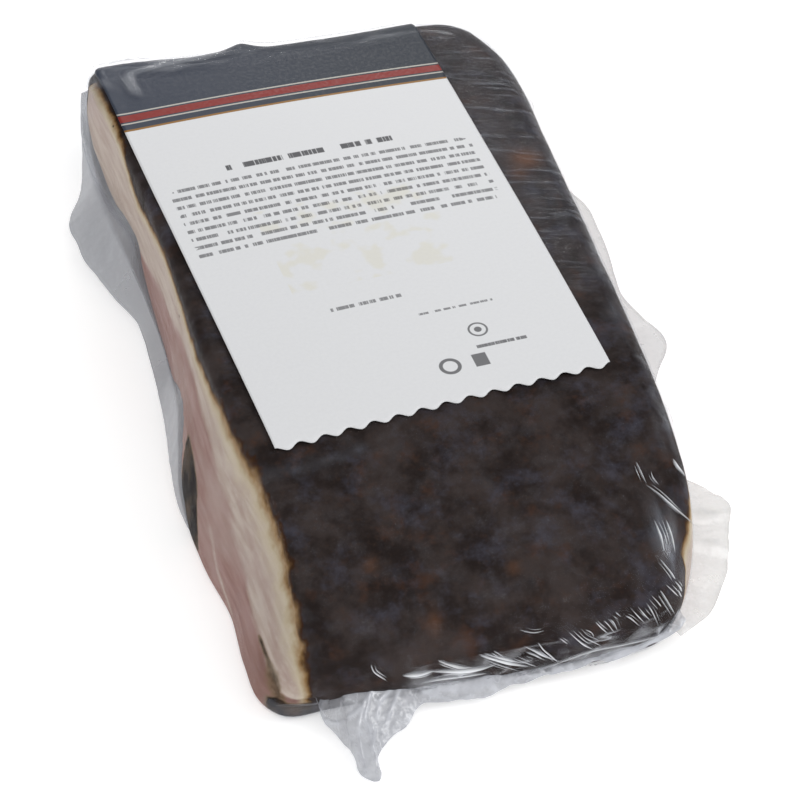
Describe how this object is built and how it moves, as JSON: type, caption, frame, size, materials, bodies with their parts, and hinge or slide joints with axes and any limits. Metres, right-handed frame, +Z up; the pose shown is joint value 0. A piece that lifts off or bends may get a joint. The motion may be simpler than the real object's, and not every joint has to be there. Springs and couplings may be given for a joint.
{
  "type": "vacuum packed smoked bacon slab",
  "caption": "Slab of smoked pork belly in a clear vacuum bag with loose film flaps and a sealed tail, and a paper label over its top and back edge.",
  "frame": {"origin": "middle of the pack's footprint box, flaps included, at the surface it rests on", "axes": "Y runs along the slab from its rounded front end to its back end, X across it, Z up"},
  "size_m": [0.1634, 0.2718, 0.0465],
  "materials": {
    "sealed_slab": "gloss",
    "label_paper": "matt"
  },
  "bodies": {
    "root": {"bag": "sealed_slab", "label": "label_paper"}
  },
  "joints": []
}
